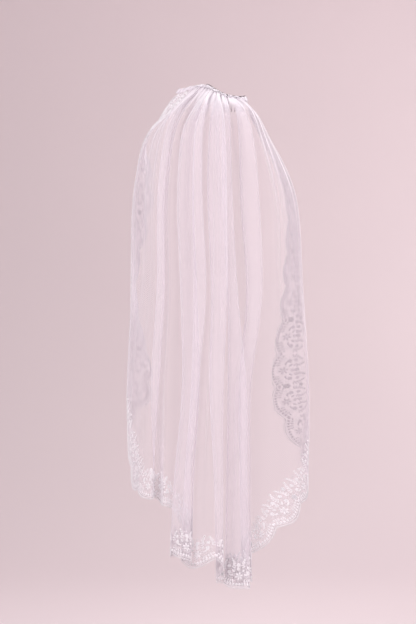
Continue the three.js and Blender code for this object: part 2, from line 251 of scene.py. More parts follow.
def slowNoise(x, fall, acrossStep, downStep, seed):
    # Smooth random numbers from -1 to 1 that change over the given steps of cloth
    cells = 62
    table = np.random.default_rng(seed).uniform(-1, 1, (cells + 2, cells + 2))
    u = x / acrossStep % cells
    v = fall / downStep % cells
    i, j = u.astype(int), v.astype(int)
    a, b = smoothStep(u - i, 0, 1), smoothStep(v - j, 0, 1)
    top = table[i, j] * (1 - a) + table[i + 1, j] * a
    foot = table[i, j + 1] * (1 - a) + table[i + 1, j + 1] * a
    return top * (1 - b) + foot * b


# Small gathers at the heading that open into softer folds as they run down the grain. A pair is
# the two lengths below the heading between which a change runs.
gatherValues = {
    "pitch": 31,  # flat cloth in one gather
    "height": 1.2,
    "puckerPitch": 12.4,
    "puckersEnd": (8, 70),
    "opens": (20, 190),
    "folds": 2.2,  # height of the folds below
    "widePitch": 53,
    "finePitch": 17.3,
    "drift": 13,  # how far a fold wanders across the cloth
    "drifts": (30, 300),
    "calms": (260, 620),
    "sidesCalm": (60, 320),
}


def secondaryFolds(x, fall):
    def grown(key):
        return smoothStep(fall, *gatherValues[key])

    drift = gatherValues["drift"] * slowNoise(x, fall, 90, 330, 3) * grown("drifts")
    phase = 2 * math.pi * (x + drift) / gatherValues["pitch"]
    gather = np.sin(phase) + 0.16 * np.sin(2 * phase + 0.8)
    wide = np.sin(2 * math.pi * (x + 1.7 * drift) / gatherValues["widePitch"] + 1.1)
    fine = np.sin(2 * math.pi * (x - 0.6 * drift) / gatherValues["finePitch"] + 0.4)
    puckerPhase = 2 * math.pi * x / gatherValues["puckerPitch"] + 2 * slowNoise(x, fall, 37, 60, 12)
    pucker = np.sin(puckerPhase) * (1 - grown("puckersEnd"))
    top = gatherValues["height"] * (gather + 0.35 * fine + 0.5 * pucker)
    strength = 0.72 + 0.5 * slowNoise(x, fall, 47, 190, 8)
    body = gatherValues["folds"] * strength * (0.75 * gather + 0.5 * wide + 0.06 * fine)
    lower = grown("opens")
    calm = 1 - 0.35 * grown("calms")
    share = np.interp(x, foldX, foldShare)
    sides = share + (1 - share) * (1 - grown("sidesCalm"))
    return top * (1 - lower) + body * lower * calm * sides


def crossed(points):
    return np.cross(np.gradient(points, axis=1), np.gradient(points, axis=0))


gridX = np.linspace(0, flatWidth, int(flatWidth / clothValues["gridAcross"]))
gridFall = np.arange(*clothValues["gridFalls"])
stepX, stepFall = gridX[1] - gridX[0], gridFall[1] - gridFall[0]
acrossGrid, fallGrid = np.meshgrid(gridX, gridFall, indexing="ij")
guide = guideAt(acrossGrid, np.maximum(fallGrid, 0))
guide[:, gridFall < 0, 2] -= gridFall[gridFall < 0]
clothGrid = guide + unit(crossed(guide)) * secondaryFolds(acrossGrid, fallGrid)[..., None]
clothNormals = unit(crossed(clothGrid))
clothDensity = stepX * stepFall / np.maximum(np.linalg.norm(crossed(clothGrid), axis=2), 1e-3)


def fromGrid(table, x, fall):
    u = np.clip(x / stepX, 0, len(gridX) - 1.001)
    v = np.clip((fall - gridFall[0]) / stepFall, 0, len(gridFall) - 1.001)
    i, j, a, b = u.astype(int), v.astype(int), u % 1, v % 1
    if table.ndim == 3:
        a, b = a[..., None], b[..., None]
    near = table[i, j] * (1 - a) + table[i + 1, j] * a
    far = table[i, j + 1] * (1 - a) + table[i + 1, j + 1] * a
    return near * (1 - b) + far * b


def onVeil(x, fall, lift=0.0):
    # Place of a point of the flat cloth, lifted off its outer face
    lifted = np.asarray(lift, dtype=float)[..., None]
    return fromGrid(clothGrid, x, fall) + unit(fromGrid(clothNormals, x, fall)) * lifted


# Outline of the flat cloth: down the back edge, along the hem and up the front edge
topFall = clothValues["headingDepth"] + clothValues["seamGap"]
sideShares = (0, 0.34, 0.67)
outline = smoothLine(
    [(0, topFall + s * (foldCut[0] - topFall)) for s in sideShares]
    + list(zip(foldX, foldCut))
    + [(flatWidth, topFall + s * (foldCut[-1] - topFall)) for s in sideShares[::-1]]
)
outlineLengths = lengthsOf(outline)
outlineLength = outlineLengths[-1]


def scallopRow(along):
    arch = np.abs(np.sin(np.pi * along / clothValues["scallopPitch"]))
    return clothValues["scallopDepth"] * (1 - arch)


def borderPoint(along, inward):
    # A point of the flat border; under the pleats inward is straight up the grain
    along = np.clip(along, 0, outlineLength)
    edge, ahead, behind = (
        atLength(outline, outlineLengths, along + step) for step in (0, 0.5, -0.5)
    )
    tangent = unit(ahead - behind)
    square = np.stack([tangent[..., 1], -tangent[..., 0]], axis=-1)
    x = edge[..., 0]
    blend = smoothStep(x, foldAt["backCorner"], foldAt["firstReturn"]) * (
        1 - smoothStep(x, foldAt["chestReturn"], foldAt["frontCorner"])
    )
    square = unit(square * (1 - blend[..., None]) + np.array([0.0, -1.0]) * blend[..., None])
    return edge + square * inward[..., None]


def onBorder(along, inward, lift):
    flat = borderPoint(along, inward)
    return onVeil(flat[..., 0], flat[..., 1], lift)


print(f"veil: cloth laid out, {flatWidth:.0f} mm wide, {outlineLength:.0f} mm round the edge")


tulleValues = {
    "colour": "#ece6ed",
    "shade": "#e0d9e1",
    "cover": 0.15,  # share of the light that one flat layer stops
    "meshWidth": 2.4,  # a real cell is half as wide, which would not show
    "edgePower": 1.5,  # how fast the net closes up as it turns edge on
    "steepest": 0.16,  # how nearly edge on it still closes up
    "laceGround": 0.5,  # how much denser the net is under the lace
    "groundEnds": (36, 52),  # distances from the edge between which that fades
    "density": (0.8, 5),  # least and greatest count of threads against flat cloth
    "columns": 560,
    "rows": 150,
    "reach": 16,  # how far in from the edge the rows follow the scallops
}


def tulleMaterial(name, values):
    # Nylon tulle: warp-knitted hexagonal net that lets most light through. It closes up where it
    # is drawn together and where it is seen edge on, so folds read as denser, whiter lines.
    material, add = newMaterial(name)
    uv = add("ShaderNodeUVMap", {"uv_map": "cloth"})
    drawn = add("ShaderNodeAttribute", {"attribute_name": "drawnUp"})
    facing = add("ShaderNodeLayerWeight", inputs={"Blend": 0.5})
    toward = add(
        "ShaderNodeMath", {"operation": "SUBTRACT"}, {0: 1.0}, {1: facing.outputs["Facing"]}
    )
    slant = add(
        "ShaderNodeMath", {"operation": "MAXIMUM"}, {1: values["steepest"]}, {0: toward.outputs[0]}
    )
    turned = add(
        "ShaderNodeMath", {"operation": "POWER"},
        {1: tulleValues["edgePower"]}, {0: slant.outputs[0]},
    )
    threads = add(
        "ShaderNodeMath", {"operation": "DIVIDE"},
        links={0: drawn.outputs["Fac"], 1: turned.outputs[0]},
    )
    # the net's cells are two crossed families of threads
    cell = add(
        "ShaderNodeMapping", {"vector_type": "TEXTURE"},
        {"Rotation": (0, 0, math.radians(45))}, {"Vector": uv.outputs["UV"]},
    )
    cellScale = waveBand / (tulleValues["meshWidth"] * millimetre)
    families = [
        add(
            "ShaderNodeTexWave", {"wave_type": "BANDS", "bands_direction": direction},
            {"Scale": cellScale, "Distortion": 0.0, "Detail": 0.0},
            {"Vector": cell.outputs["Vector"]},
        )
        for direction in ("X", "Y")
    ]
    net = add(
        "ShaderNodeMath", {"operation": "MAXIMUM"},
        links={0: families[0].outputs["Fac"], 1: families[1].outputs["Fac"]},
    )
    netCover = add(
        "ShaderNodeMapRange",
        inputs={"From Min": 0.2, "From Max": 1.0, "To Min": 0.7, "To Max": 1.35},
        links={"Value": net.outputs[0]},
    )
    count = add(
        "ShaderNodeMath", {"operation": "MULTIPLY"},
        links={0: threads.outputs[0], 1: netCover.outputs["Result"]},
    )
    passed = add(
        "ShaderNodeMath", {"operation": "POWER"}, {0: 1 - values["cover"]}, {1: count.outputs[0]}
    )
    stopped = add("ShaderNodeMath", {"operation": "SUBTRACT"}, {0: 1.0}, {1: passed.outputs[0]})
    _, tint = mottle(add, uv.outputs["UV"], tulleValues, 9.0, 3.0)
    bump = add(
        "ShaderNodeBump", inputs={"Strength": 0.25, "Distance": 0.0003},
        links={"Height": net.outputs[0]},
    )
    skin = add(
        "ShaderNodeBsdfPrincipled",
        inputs={
            "Roughness": 0.62, "IOR": 1.53, "Specular IOR Level": 0.35,
            "Sheen Weight": 0.35, "Sheen Roughness": 0.4,
        },
        links={"Base Color": tint, "Alpha": stopped.outputs[0], "Normal": bump.outputs["Normal"]},
    )
    add("ShaderNodeOutputMaterial", links={"Surface": skin.outputs[0]})
    return material


def hemByX():
    # The part of the outline that is the hem, as fall against x
    inside = (outline[:, 0] > 1e-3) & (outline[:, 0] < flatWidth - 1e-3)
    x = np.concatenate([[0], outline[inside, 0], [flatWidth]])
    fall = np.concatenate([[foldCut[0]], outline[inside, 1], [foldCut[-1]]])
    order = np.argsort(x)
    return x[order], fall[order]


def nearestOutline(flat):
    # Distance of each flat point from the outline, and the length along it of the nearest place
    samples = np.arange(0, outlineLength, 1.0)
    tree = KDTree(len(samples))
    for i, (x, fall) in enumerate(atLength(outline, outlineLengths, samples)):
        tree.insert((x, fall, 0), i)
    tree.balance()
    found = [tree.find((x, fall, 0)) for x, fall in flat.reshape(-1, 2)]
    gaps = np.array([item[2] for item in found]).reshape(flat.shape[:-1])
    return gaps, samples[[item[1] for item in found]].reshape(flat.shape[:-1])


def tullePiece():
    # Columns run down the grain from the heading to the scalloped edge
    columns, rows = tulleValues["columns"], tulleValues["rows"]
    x = np.linspace(0, flatWidth, columns)
    hemFall = np.interp(x, *hemByX())
    share = np.linspace(0, 1, rows)
    fall = topFall + (hemFall - topFall)[:, None] * share[None, :]
    flat = np.stack([np.broadcast_to(x[:, None], fall.shape), fall], axis=-1)
    gaps, along = nearestOutline(flat)
    # near the outline the rows move inward with the scallops
    weight = np.clip(1 - gaps / tulleValues["reach"], 0, 1)[..., None]
    flat = flat + (borderPoint(along, scallopRow(along)) - borderPoint(along, 0 * along)) * weight
    points = onVeil(flat[..., 0], flat[..., 1])
    drawn = np.clip(fromGrid(clothDensity, flat[..., 0], flat[..., 1]), *tulleValues["density"])
    drawn *= 1 + tulleValues["laceGround"] * (1 - smoothStep(gaps, *tulleValues["groundEnds"]))
    net = tulleMaterial("nylon tulle, hexagonal net", tulleValues)
    return makePiece(
        "tulle_sheet", points.reshape(-1, 3), gridFaces(columns, rows), net,
        flat.reshape(-1, 2), {"drawnUp": drawn.ravel()},
    )


tulle = tullePiece()
print("veil: tulle made")


laceValues = {
    "front": "#fdfbff",
    # the back-side colour: partly the duller carried threads, partly painted shade
    "reverseAndShade": "#b7a5aa",
    "stitch": 0.9,  # width of a satin stitch, a little coarser than real so that it shows
    "roughness": 0.42,
    "sheen": 0.3,
    "cover": 0.86,
    "glow": 0.15,  # stands for the light that white threads pass on
}


def laceMaterial():
    # Corded lace: satin-stitched rayon petals inside a raised cord. The right side catches the
    # light like silk; the back side, with its carried threads, is duller, and its greyer colour is
    # also painted shade for back faces that lie behind the front layers.
    material, add = newMaterial("rayon satin-stitch lace")
    uv = add("ShaderNodeUVMap", {"uv_map": "cloth"})
    side = add("ShaderNodeAttribute", {"attribute_name": "rightSide"})
    stitches = add(
        "ShaderNodeTexWave", {"wave_type": "BANDS", "bands_direction": "X"},
        {
            "Scale": waveBand / (laceValues["stitch"] * millimetre),
            "Distortion": 0.8, "Detail": 1.0, "Detail Scale": 2.0,
        },
        {"Vector": uv.outputs["UV"]},
    )
    shade = add(
        "ShaderNodeMapRange", inputs={"To Min": 0.86, "To Max": 1.04},
        links={"Value": stitches.outputs["Fac"]},
    )
    # front colour against the back-side colour, by the points' side attribute, whose low values are
    # partly painted shade
    colour = add(
        "ShaderNodeMix", {"data_type": "RGBA"},
        {"A": linearColour(laceValues["reverseAndShade"]), "B": linearColour(laceValues["front"])},
        {"Factor": side.outputs["Fac"]},
    )
    threads = add(
        "ShaderNodeMix", {"data_type": "RGBA", "blend_type": "MULTIPLY"}, {"Factor": 1.0},
        {"A": colour.outputs["Result"], "B": shade.outputs["Result"]},
    )
    bump = add(
        "ShaderNodeBump", inputs={"Strength": 0.5, "Distance": 0.0003},
        links={"Height": stitches.outputs["Fac"]},
    )
    skin = add(
        "ShaderNodeBsdfPrincipled",
        inputs={
            "Roughness": laceValues["roughness"], "IOR": 1.53,
            "Sheen Weight": laceValues["sheen"], "Sheen Roughness": 0.3,
            "Alpha": laceValues["cover"], "Emission Strength": laceValues["glow"],
        },
        links={
            "Base Color": threads.outputs["Result"],
            "Emission Color": threads.outputs["Result"],
            "Normal": bump.outputs["Normal"],
        },
    )
    add("ShaderNodeOutputMaterial", links={"Surface": skin.outputs[0]})
    return material


motifValues = {
    "cordRadius": 0.56,
    "fineRadius": 0.32,
    "cordSides": 3,
    "fillLift": 0.45,
    "fillDome": 0.7,
    "fillBright": 0.85,  # how much of the right side shows, from 0 to 1
    # the closed backs: mostly the back-side colour, which is partly painted shade
    "backBright": 0.25,
    "back": 0.08,  # how far the closed backs stand off the net
}


class Motif:
    # Points (along, inward, lift), faces, bright side and stitch lines of one repeat of the lace.
    # The bright side sets front against back-side colour; its low values on cord undersides and dot
    # rims are painted shade, and the closed backs take the back-side colour, which is partly
    # painted shade too.

    def __init__(self):
        self.points, self.faces, self.bright, self.stitch, self.owner = [], [], [], [], []
        self.elements, self.beads = [], []
        self.count = 0

    def add(self, points, faces, bright, stitch):
        points = np.asarray(points, dtype=float)
        self.points.append(points)
        self.faces += [[v + self.count for v in face] for face in faces]
        self.bright.append(np.asarray(bright, dtype=float))
        self.stitch.append(np.asarray(stitch, dtype=float))
        self.owner.append(np.full(len(points), len(self.elements)))
        self.elements.append(points[:, :2].mean(axis=0))
        self.count += len(points)


def courseAt(angles):
    # Unit directions in the flat
    return np.stack([np.cos(angles), np.sin(angles)], axis=-1)


def onCircle(centre, radius, count):
    angles = np.linspace(0, 2 * math.pi, count, endpoint=False)
    return centre + radius * courseAt(angles)


def cordInto(motif, path, radius, closed):
    # A round cord along a path in the flat, its ends drawn to a point
    path = np.asarray(path, dtype=float)
    count, sides = len(path), motifValues["cordSides"]
    radii = np.full(count, radius)
    if closed:
        tangent = unit(np.roll(path, -1, axis=0) - np.roll(path, 1, axis=0))
    else:
        tangent = unit(np.gradient(path, axis=0))
        radii[[0, -1]] = radius * 0.25
    perp = np.stack([-tangent[:, 1], tangent[:, 0]], axis=-1)
    height = radius * 0.9
    steps = lengthsOf(path)
    points, bright, stitch, faces = [], [], [], []
    for i in range(count):
        for s in range(sides):
            angle = 2 * math.pi * (s + 0.75) / sides
            x, inward = path[i] + perp[i] * radii[i] * math.cos(angle)
            points.append((x, inward, height + radii[i] * math.sin(angle)))
            # painted shade: the cord's underside, toward the net, takes half of the darker
            # back-side colour
            bright.append(0.5 + 0.5 * (math.sin(angle) > -0.2))
            stitch.append((steps[i], radius * angle))
    for i in range(count if closed else count - 1):
        for s in range(sides):
            a, b = i * sides + s, i * sides + (s + 1) % sides
            c, d = (i + 1) % count * sides + (s + 1) % sides, (i + 1) % count * sides + s
            faces.append([a, d, c, b])
    if not closed:
        faces.append(list(range(sides)))
        faces.append([(count - 1) * sides + s for s in range(sides)][::-1])
    motif.add(points, faces, bright, stitch)


def petalInto(motif, base, angle, length, width, bend=0.0, swell=0.8, cord=0.8):
    # A petal or leaf: a domed fill of satin stitch, with its closed back, inside a raised cord
    rows = 3 if length < 6.5 else 4
    across = (-1, 0, 1)
    s = np.linspace(0, 1, rows + 1)
    turn = math.radians(angle) + math.radians(bend) * (s - 0.5)
    steps = courseAt(turn) * length / rows
    centre = base + np.concatenate([[[0, 0]], np.cumsum(steps[:-1], axis=0)])
    perp = np.stack([-np.sin(turn), np.cos(turn)], axis=-1)
    half = width / 2 * np.sin(np.pi * s**swell) ** 0.7
    half[0], half[-1] = width * 0.05, width * 0.04
    top, low, stitch, faces = [], [], [], []
    for i in range(rows + 1):
        for t in across:
            x, inward = centre[i] + perp[i] * half[i] * t
            dome = motifValues["fillDome"] * (1 - t * t) * math.sin(math.pi * s[i])
            top.append((x, inward, motifValues["fillLift"] + dome))
            low.append((x, inward, motifValues["back"]))
            stitch.append((length * s[i] + abs(t) * width * 0.4, t * half[i]))
    n, offset = len(across), len(top)
    for i in range(rows):
        for k in range(n - 1):
            a, b, c, d = i * n + k, i * n + k + 1, (i + 1) * n + k + 1, (i + 1) * n + k
            faces += [[a, d, c, b], [a + offset, b + offset, c + offset, d + offset]]
        a, d = i * n, (i + 1) * n
        faces.append([a, a + offset, d + offset, d])
        faces.append([a + n - 1, d + n - 1, d + n - 1 + offset, a + n - 1 + offset])
    for k in range(n - 1):
        last = rows * n
        faces.append([k, k + 1, k + 1 + offset, k + offset])
        faces.append([last + k, last + k + offset, last + k + 1 + offset, last + k + 1])
    bright = [motifValues["fillBright"]] * offset + [motifValues["backBright"]] * offset
    motif.add(top + low, faces, bright, stitch + stitch)
    if cord:
        side = perp * half[:, None]
        loop = np.vstack([centre + side, (centre - side)[::-1][1:-1]])
        loop = smoothLine(np.vstack([loop, loop[:1]]), 2)[:-1]
        cordInto(motif, loop, motifValues["cordRadius"] * cord, True)


def ringInto(motif, centre, radius, cord, steps=8):
    cordInto(motif, onCircle(centre, radius, steps), cord, True)


def flowerInto(motif, centre, petals, reach, width, turnBy=0.0):
    # Rounded petals round a beaded eye
    eye = reach * 0.2
    for k in range(petals):
        angle = turnBy + 360 * k / petals
        base = centre + eye * courseAt(math.radians(angle))
        petalInto(motif, base, angle, reach - eye, width, 0, 1.2, 0.7)
    ringInto(motif, centre, eye, motifValues["cordRadius"])
    motif.beads.append((centre[0], centre[1], 1.3, 0.55 + 0.04 * reach))
    if reach > 5:
        motif.beads += [(x, inward, 1.3, 0.5) for x, inward in onCircle(centre, 1.5 * eye, petals)]


def sprigInto(motif, stem, pairs, leafLength, leafWidth):
    # A stem with pairs of small satin leaves and one at its tip, and beads between them
    line = smoothLine(stem, 8)
    lengths = lengthsOf(line)
    path = atLength(line, lengths, np.linspace(0, lengths[-1], 8))
    cordInto(motif, path, motifValues["cordRadius"] * 0.9, False)
    for n in range(pairs):
        share = (n + 0.7) / (pairs + 0.4)
        places = np.array([share, min(share + 0.06, 1)]) * lengths[-1]
        here, ahead = atLength(line, lengths, places)
        course = math.degrees(math.atan2(ahead[1] - here[1], ahead[0] - here[0]))
        length = leafLength * (1 - 0.08 * n)
        for side in (-1, 1):
            turned = course + side * (52 - 4 * n)
            petalInto(motif, here, turned, length, leafWidth, -side * 24, 0.85, 0)
            if n % 2:
                place = here + 3 * courseAt(math.radians(course + side * 88))
                motif.beads.append((*place, 0.9, 0.5))
    course = math.degrees(math.atan2(line[-1, 1] - line[-4, 1], line[-1, 0] - line[-4, 0]))
    petalInto(motif, line[-1], course, leafLength * 1.1, leafWidth * 1.15, 0, 0.75, 0.7)


def curlInto(motif, centre, radius, start, turns):
    # A spiral tendril, from its outer end in
    angles = math.radians(start) + np.linspace(0, 2 * math.pi * turns, 11)
    reach = radius * np.linspace(1, 0.28, 11)
    path = centre + reach[:, None] * courseAt(angles)
    cordInto(motif, path, motifValues["cordRadius"] * 0.8, False)
    motif.beads.append((centre[0], centre[1], 1.0, 0.7))


# Dots that fill the bare net between the petals, in staggered rows that thin out inward
dotValues = {
    "radius": 0.84,
    "rim": 0.12,
    "crown": 0.85,
    # painted shade: the rim of each dot is darker than its crown
    "rimInShade": 0.6,
    "across": 2.7,
    "inward": 2.4,
    "rows": 16,
    "firstRow": 13,
    "fromEdge": 9.5,
    "clear": 1.15,  # distance kept from petals and cords
    "thinFrom": 7,  # row from which that distance grows
    "thinBy": 0.06,
}


def dotInto(motif, centre):
    angles = np.arange(6) * math.pi / 3
    rim = centre + dotValues["radius"] * courseAt(angles)
    points = [(x, inward, dotValues["rim"]) for x, inward in rim] + [(*centre, dotValues["crown"])]
    faces = [[i, (i + 1) % 6, 6] for i in range(6)] + [[5, 4, 3, 2, 1, 0]]
    stitch = [(2 * x, inward) for x, inward in rim] + [(0, 0)]
    # rim points take painted shade, the crown the full front colour
    motif.add(points, faces, [dotValues["rimInShade"]] * 6 + [1.0], stitch)


def groundInto(motif, pitch):
    taken = np.vstack(motif.points)[:, :2]
    taken = np.vstack([taken, taken + (pitch, 0), taken - (pitch, 0)])
    for row in range(dotValues["rows"]):
        inward = dotValues["firstRow"] + row * dotValues["inward"]
        needed = dotValues["clear"] * (
            1 + dotValues["thinBy"] * max(0, row - dotValues["thinFrom"])
        )
        for n in range(int(pitch / dotValues["across"])):
            x = (n + 0.5 * (row % 2)) * dotValues["across"]
            clear = np.linalg.norm(taken - (x, inward), axis=1).min()
            if clear > needed and inward > float(scallopRow(x)) + dotValues["fromEdge"]:
                dotInto(motif, (x, inward))


# One repeat of the border: along the edge from one scallop's valley to the next, and inward
flowerTable = [
    # centre, petals, reach, petal width, turn
    ((32, 22), 6, 7.3, 3.0, 15),
    ((0, 26.5), 6, 5.4, 3.4, 30),
    ((15, 31), 5, 3.7, 2.8, 54),
    ((50, 30.5), 5, 3.9, 2.9, 10),
    ((32, 42), 5, 3.9, 2.9, 40),
    ((0, 47), 5, 3.6, 2.7, 18),
    ((51, 40), 5, 3.3, 2.5, 0),
    ((15, 42), 5, 3.3, 2.5, 36),
]
sprigTable = [
    # stem points, leaf pairs, leaf length and width
    ([(25, 14), (17, 14.5), (10, 18.5), (6.5, 20)], 4, 4.3, 2.3),
    ([(39, 14), (47, 14.5), (54, 18.5), (57.5, 20)], 4, 4.3, 2.3),
    ([(32, 31), (31, 36)], 2, 4.0, 2.2),
    ([(6, 33), (5, 40), (10, 50)], 5, 4.6, 2.4),
    ([(59, 32), (60, 38), (55, 47)], 4, 4.6, 2.4),
    ([(21, 36), (25, 43), (22, 52)], 5, 4.5, 2.4),
    ([(44, 36), (40, 42), (43, 50)], 4, 4.5, 2.4),
]
curlTable = [
    # centre, radius, start angle, turns
    ((24.5, 33.5), 2.6, 200, 1.3),
    ((40, 33), 2.6, -20, -1.3),
    ((32, 50), 2.8, 250, -1.2),
]
leafTable = [
    # place, angle, length, width, bend
    ((22, 25), 155, 9, 2.8, -46),
    ((42, 25), 25, 9, 2.8, 46),
    ((25, 30), 122, 7, 2.6, -36),
    ((39, 30), 58, 7, 2.6, 36),
]
ringValues = {"places": [(9, 26), (56, 25), (8.5, 15.2), (55.5, 15.2)], "radius": 1.5}
crownValues = {"centre": (32, 22), "rings": 12, "reach": 8.3, "radius": 1.1}
edgeValues = {
    "inner": 3.7,  # distance from the outer cord to the inner one
    "rungs": 20,
    "picots": 18,
    "picotRadius": 1.5,
    "shells": 13,
    "shellInward": 9.2,
    "shellSize": (4.6, 4.0),
    "shellBead": (10.4, 0.9, 0.55),  # its distance inward, lift and size
}


def edgeInto(motif, pitch):
    # The scalloped edge: two cords with fine bars between them, small picot loops beyond, and a
    # row of shell petals that stand on the inner cord
    cord, fine, inner = motifValues["cordRadius"], motifValues["fineRadius"], edgeValues["inner"]
    u = np.linspace(0, pitch, 29)
    edge = np.stack([u, scallopRow(u)], axis=-1)
    cordInto(motif, edge + (0, 0.3), cord * 1.2, False)
    cordInto(motif, edge + (0, inner), cord, False)

    def spread(count):
        places = (np.arange(count) + 0.5) * pitch / count
        return [(u, float(scallopRow(u))) for u in places]

    for u, v in spread(edgeValues["rungs"]):
        cordInto(motif, [(u, v + 0.4), (u + 0.3, v + 2), (u, v + inner)], fine, False)
    for u, v in spread(edgeValues["picots"]):
        ringInto(motif, (u, v - 0.8), edgeValues["picotRadius"], fine, 9)
    length, width = edgeValues["shellSize"]
    beadInward, beadLift, beadSize = edgeValues["shellBead"]
    for u, v in spread(edgeValues["shells"]):
        slope = math.degrees(math.atan2(float(scallopRow(u + 0.5) - scallopRow(u - 0.5)), 1.0))
        base = (u, v + edgeValues["shellInward"])
        petalInto(motif, base, slope - 90, length, width, 0, 1.15, 0.7)
        motif.beads.append((u, v + beadInward, beadLift, beadSize))


def borderRepeat(mirror):
    motif = Motif()
    pitch, fine = clothValues["scallopPitch"], motifValues["fineRadius"]
    edgeInto(motif, pitch)
    tables = ((flowerInto, flowerTable), (sprigInto, sprigTable), (curlInto, curlTable))
    for addTo, table in tables:
        for row in table:
            addTo(motif, *row)
    for place in onCircle(crownValues["centre"], crownValues["reach"], crownValues["rings"]):
        ringInto(motif, place, crownValues["radius"], fine, 6)
    for place in ringValues["places"]:
        ringInto(motif, place, ringValues["radius"], fine * 1.2)
    for row in leafTable:
        petalInto(motif, *row, 0.8, 0.7)
    groundInto(motif, pitch)
    points, beads = np.vstack(motif.points), np.array(motif.beads)
    elements, faces = np.array(motif.elements), motif.faces
    if mirror:
        for table in (points, beads, elements):
            table[:, 0] = pitch - table[:, 0]
        faces = [face[::-1] for face in faces]
    return {
        "points": points, "faces": faces, "beads": beads, "elements": elements,
        "bright": np.concatenate(motif.bright), "stitch": np.vstack(motif.stitch),
        "owner": np.concatenate(motif.owner),
    }


def alongAtFold(name):
    # Length round the edge at which a fold line meets the border
    along = np.arange(0, outlineLength, 0.5)
    x = atLength(outline, outlineLengths, along)[:, 0]
    return float(along[np.argmax(x >= foldAt[name])])


def between(one, other):
    return (alongAtFold(one) + alongAtFold(other)) / 2


backCorner = between("backContour", "backCorner")
frontCorner = between("frontCorner", "frontContour")
backJoin = between("backPanel", "firstReturn")
frontJoin = between("thirdReturn", "fourthCrest")
sections = [
    ("lace_back_edge", 0, backCorner),
    ("lace_back_hem", backCorner, backJoin),
    ("lace_centre_hem", backJoin, frontJoin),
    ("lace_front_hem", frontJoin, frontCorner),
    ("lace_front_edge", frontCorner, outlineLength),
]
endGap = 3  # the lace stops this far short of the heading

satinStitch = laceMaterial()
repeats = [borderRepeat(False), borderRepeat(True)]
beadPlaces = []


def lacePiece(name, start, end):
    # Each petal or cord belongs to the section in which its middle lies
    def inSection(along):
        onCloth = (along > endGap) & (along < outlineLength - endGap)
        return (along >= start) & (along < end) & onCloth

    pitch = clothValues["scallopPitch"]
    points, faces, bright, stitch = [], [], [], []
    count = 0
    for n in range(int(outlineLength // pitch) + 1):
        repeat = repeats[n % 2]
        keep = inSection(repeat["elements"][:, 0] + n * pitch)[repeat["owner"]]
        if not keep.any():
            continue
        renumber = np.cumsum(keep) - 1 + count
        flat = repeat["points"][keep]
        points.append(onBorder(flat[:, 0] + n * pitch, flat[:, 1], flat[:, 2]))
        faces += [[int(renumber[v]) for v in face] for face in repeat["faces"] if keep[face[0]]]
        bright.append(repeat["bright"][keep])
        stitch.append(repeat["stitch"][keep])
        count += int(keep.sum())
        for along, inward, lift, size in repeat["beads"] + (n * pitch, 0, 0, 0):
            if inSection(along):
                beadPlaces.append((along, inward, lift, size))
    return makePiece(
        name + "_motifs", np.vstack(points), faces, satinStitch, np.vstack(stitch),
        {"rightSide": np.concatenate(bright)},
    )


lacePieces = {name: lacePiece(name, start, end) for name, start, end in sections}
for name, piece in lacePieces.items():
    print(f"veil: {name}, {sum(len(p.vertices) - 2 for p in piece.data.polygons)} triangles")


beadValues = {
    "radius": 1.0,  # of a bead whose size is 1
    "colour": "#fdf9fc",
    "shade": "#eae6ec",
    "roughness": 0.2,
    "lustre": 0.8,
}


def beadMaterial():
    # Glass seed beads with a pearl lustre: small bright points on the stems and flower centres
    material, add = newMaterial("pearl lustre glass beads")
    place = add("ShaderNodeTexCoord")
    _, tint = mottle(add, place.outputs["Object"], beadValues, 160.0)
    skin = add(
        "ShaderNodeBsdfPrincipled",
        inputs={
            "Roughness": beadValues["roughness"], "Coat Weight": beadValues["lustre"],
            "Coat Roughness": 0.05,
        },
        links={"Base Color": tint},
    )
    add("ShaderNodeOutputMaterial", links={"Surface": skin.outputs[0]})
    return material


def beadTree(material):
    # A small ball on every point, as large as the point's bead size says
    tree = bpy.data.node_groups.new("seed beads on points", "GeometryNodeTree")
    for way in ("INPUT", "OUTPUT"):
        tree.interface.new_socket("Geometry", in_out=way, socket_type="NodeSocketGeometry")
    size = tree.interface.new_socket("Bead Radius", in_out="INPUT", socket_type="NodeSocketFloat")
    add = partial(addNode, tree)
    given = add("NodeGroupInput")
    ball = add(
        "GeometryNodeMeshIcoSphere", inputs={"Subdivisions": 1},
        links={"Radius": given.outputs["Bead Radius"]},
    )
    smooth = add("GeometryNodeSetShadeSmooth", links={"Geometry": ball.outputs["Mesh"]})
    scale = add("GeometryNodeInputNamedAttribute", {"data_type": "FLOAT"}, {"Name": "beadSize"})
    copies = add(
        "GeometryNodeInstanceOnPoints",
        links={
            "Points": given.outputs["Geometry"], "Instance": smooth.outputs[0],
            "Scale": scale.outputs["Attribute"],
        },
    )
    real = add("GeometryNodeRealizeInstances", links={"Geometry": copies.outputs["Instances"]})
    painted = add(
        "GeometryNodeSetMaterial", inputs={"Material": material},
        links={"Geometry": real.outputs["Geometry"]},
    )
    add("NodeGroupOutput", links={"Geometry": painted.outputs["Geometry"]})
    return tree, size.identifier


def applyTree(piece, tree, inputs):
    # Runs a node tree on a piece and keeps the result as its plain mesh
    modifier = piece.modifiers.new("made by nodes", "NODES")
    modifier.node_group = tree
    for identifier, value in inputs.items():
        modifier[identifier] = value
    shown = piece.evaluated_get(bpy.context.evaluated_depsgraph_get())
    mesh = bpy.data.meshes.new_from_object(shown)
    piece.modifiers.remove(modifier)
    piece.data = mesh
    return piece


def beadPiece():
    places = np.array(beadPlaces)
    points = onBorder(places[:, 0], places[:, 1], places[:, 2])
    pearl = beadMaterial()
    piece = makePiece("seed_beads", points, [], pearl, None, {"beadSize": places[:, 3]})
    tree, radius = beadTree(pearl)
    return applyTree(piece, tree, {radius: beadValues["radius"] * millimetre})


beads = beadPiece()
print(f"veil: {len(beadPlaces)} seed beads")


headingValues = {
    "top": 0.9,  # its first row, below the line across the top
    "overlap": 1.5,  # how far it runs down past its depth
    "pitch": 1.7,
    "crest": 1.3,
    "fullness": 0.74,  # share of the cloth that goes into the pleats
    "thickness": 0.4,
    "drawnUp": 1.6,
    "cover": 0.5,
    "steepest": 0.4,
    "columns": 1180,
    "rows": 8,
}


